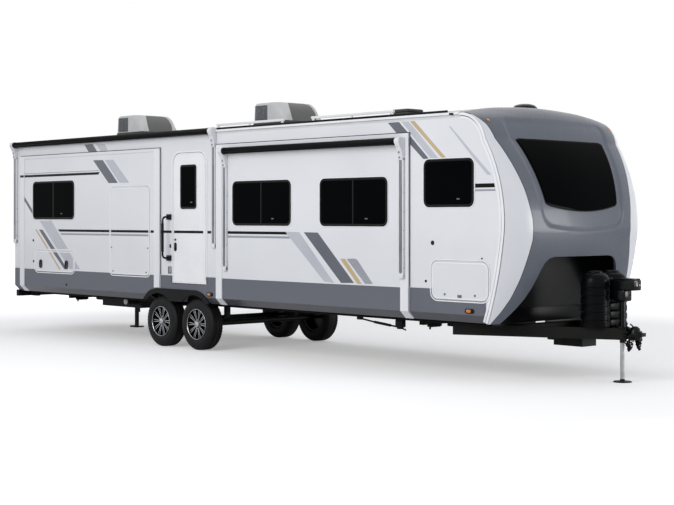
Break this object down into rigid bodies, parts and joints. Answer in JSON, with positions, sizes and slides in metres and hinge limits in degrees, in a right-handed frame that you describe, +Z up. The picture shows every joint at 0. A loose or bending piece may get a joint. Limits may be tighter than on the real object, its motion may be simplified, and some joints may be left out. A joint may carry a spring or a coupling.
{
  "type": "travel trailer",
  "caption": "Long white travel trailer with grey moulded front cap, three slide-out rooms, tandem axles, awnings and an A-frame tongue on its jack.",
  "frame": {"origin": "on the ground, on the centreline, half way between the rear bumper and the coupler's nose", "axes": "+X forward to the coupler, +Y to the road side, +Z up; the entry door is on -Y"},
  "size_m": [11.52, 2.6186, 3.4667],
  "materials": {
    "black_steel": "satin black paint",
    "zinc_steel": "zinc plated",
    "black_plastic": "moulded black",
    "white_fibreglass": "gelcoat",
    "grey_cap": "painted moulding",
    "grey_skirt": "painted sheet",
    "interior_panel": "plain board",
    "dark_glass": "black tinted glazing",
    "lamp_red": "lens",
    "ac_plastic": "moulded shroud",
    "awning_roller": "rolled vinyl",
    "awning_alloy": "satin",
    "tyre_rubber": "rubber",
    "alloy_rim": "machined face"
  },
  "bodies": {
    "trailer": {"main_rails": "black_steel", "cross_members": "black_steel", "leg_lugs": "black_steel", "bumper": "black_steel", "a_frame": "black_steel", "coupler": "black_steel", "jack_body": "black_steel", "propane_cover": "black_plastic", "floor_deck": "interior_panel", "curb_wall": "white_fibreglass", "road_wall": "white_fibreglass", "rear_wall": "white_fibreglass", "front_bulkhead": "black_plastic", "roof": "white_fibreglass", "front_cap": "grey_cap", "cap_glass": "dark_glass", "gutters": "white_fibreglass", "skirts": "grey_skirt", "fenders": "black_plastic", "body_windows": "dark_glass", "axles": "black_steel", "suspension": "black_steel", "grab_handle": "black_steel", "tail_lights": "lamp_red", "holding_tank": "black_plastic", "air_conditioners": "ac_plastic", "roof_fittings": "black_plastic", "rear_awning_tube": "awning_roller", "rear_awning_arms": "awning_alloy"},
    "tongue_jack": {"jack_leg": "zinc_steel"},
    "entry_door": {"entry_door": "white_fibreglass", "entry_door_pane": "dark_glass"},
    "rear_slide": {"rear_slide_room": "interior_panel", "rear_slide_face": "white_fibreglass", "rear_slide_windows": "dark_glass"},
    "mid_slide": {"mid_slide_room": "interior_panel", "mid_slide_face": "white_fibreglass", "mid_slide_windows": "dark_glass", "mid_awning_tube": "awning_roller", "mid_awning_arms": "awning_alloy"},
    "road_slide": {"road_slide_room": "interior_panel", "road_slide_face": "white_fibreglass", "road_slide_windows": "dark_glass"},
    "kitchen_door": {"kitchen_door": "white_fibreglass"},
    "lower_hatch": {"lower_hatch": "white_fibreglass"},
    "curb_baggage_door": {"curb_baggage_door": "white_fibreglass"},
    "road_baggage_door": {"road_baggage_door": "white_fibreglass"},
    "curb_rear_wheel": {"curb_rear_tyre": "tyre_rubber", "curb_rear_rim": "alloy_rim"},
    "curb_front_wheel": {"curb_front_tyre": "tyre_rubber", "curb_front_rim": "alloy_rim"},
    "road_rear_wheel": {"road_rear_tyre": "tyre_rubber", "road_rear_rim": "alloy_rim"},
    "road_front_wheel": {"road_front_tyre": "tyre_rubber", "road_front_rim": "alloy_rim"},
    "curb_rear_stand": {"curb_rear_leg": "black_steel"},
    "curb_front_stand": {"curb_front_leg": "black_steel"},
    "road_rear_stand": {"road_rear_leg": "black_steel"},
    "road_front_stand": {"road_front_leg": "black_steel"}
  },
  "joints": [
    {"name": "curb_rear_wheel_spin", "type": "hinge", "parent": "trailer", "child": "curb_rear_wheel", "pos_m": [-1.67, -1.08, 0.36], "axis": [0, 1, 0], "continuous": true},
    {"name": "curb_front_wheel_spin", "type": "hinge", "parent": "trailer", "child": "curb_front_wheel", "pos_m": [-0.832, -1.08, 0.36], "axis": [0, 1, 0], "continuous": true},
    {"name": "road_rear_wheel_spin", "type": "hinge", "parent": "trailer", "child": "road_rear_wheel", "pos_m": [-1.67, 1.08, 0.36], "axis": [0, 1, 0], "continuous": true},
    {"name": "road_front_wheel_spin", "type": "hinge", "parent": "trailer", "child": "road_front_wheel", "pos_m": [-0.832, 1.08, 0.36], "axis": [0, 1, 0], "continuous": true},
    {"name": "tongue_jack_lift", "type": "slide", "parent": "trailer", "child": "tongue_jack", "axis": [0, 0, 1], "range_m": [0, 0.4]},
    {"name": "entry_door_swing", "type": "hinge", "parent": "trailer", "child": "entry_door", "pos_m": [-0.568, -1.228, 1.8], "axis": [0, 0, 1], "range_deg": [0, 100]},
    {"name": "rear_slide_out", "type": "slide", "parent": "trailer", "child": "rear_slide", "axis": [0, -1, 0], "range_m": [0, 0.86]},
    {"name": "mid_slide_out", "type": "slide", "parent": "trailer", "child": "mid_slide", "axis": [0, -1, 0], "range_m": [0, 0.86]},
    {"name": "road_slide_out", "type": "slide", "parent": "trailer", "child": "road_slide", "axis": [0, 1, 0], "range_m": [0, 0.86]},
    {"name": "kitchen_door_lift", "type": "hinge", "parent": "rear_slide", "child": "kitchen_door", "pos_m": [-2.375, -1.2433, 2.294], "axis": [-1, 0, 0], "range_deg": [0, 90]},
    {"name": "lower_hatch_lift", "type": "hinge", "parent": "rear_slide", "child": "lower_hatch", "pos_m": [-4.4475, -1.2433, 1.325], "axis": [-1, 0, 0], "range_deg": [0, 100]},
    {"name": "curb_baggage_door_lift", "type": "hinge", "parent": "trailer", "child": "curb_baggage_door", "pos_m": [4.127, -1.225, 1.345], "axis": [-1, 0, 0], "range_deg": [0, 100]},
    {"name": "road_baggage_door_lift", "type": "hinge", "parent": "trailer", "child": "road_baggage_door", "pos_m": [4.127, 1.225, 1.345], "axis": [1, 0, 0], "range_deg": [0, 100]},
    {"name": "curb_rear_stand_fold", "type": "hinge", "parent": "trailer", "child": "curb_rear_stand", "pos_m": [-4.9, -0.64, 0.562], "axis": [-1, 0, 0], "range_deg": [0, 90]},
    {"name": "curb_front_stand_fold", "type": "hinge", "parent": "trailer", "child": "curb_front_stand", "pos_m": [3, -0.64, 0.562], "axis": [-1, 0, 0], "range_deg": [0, 90]},
    {"name": "road_rear_stand_fold", "type": "hinge", "parent": "trailer", "child": "road_rear_stand", "pos_m": [-4.9, 0.64, 0.562], "axis": [-1, 0, 0], "range_deg": [0, 90]},
    {"name": "road_front_stand_fold", "type": "hinge", "parent": "trailer", "child": "road_front_stand", "pos_m": [3, 0.64, 0.562], "axis": [1, 0, 0], "range_deg": [0, 90]}
  ]
}
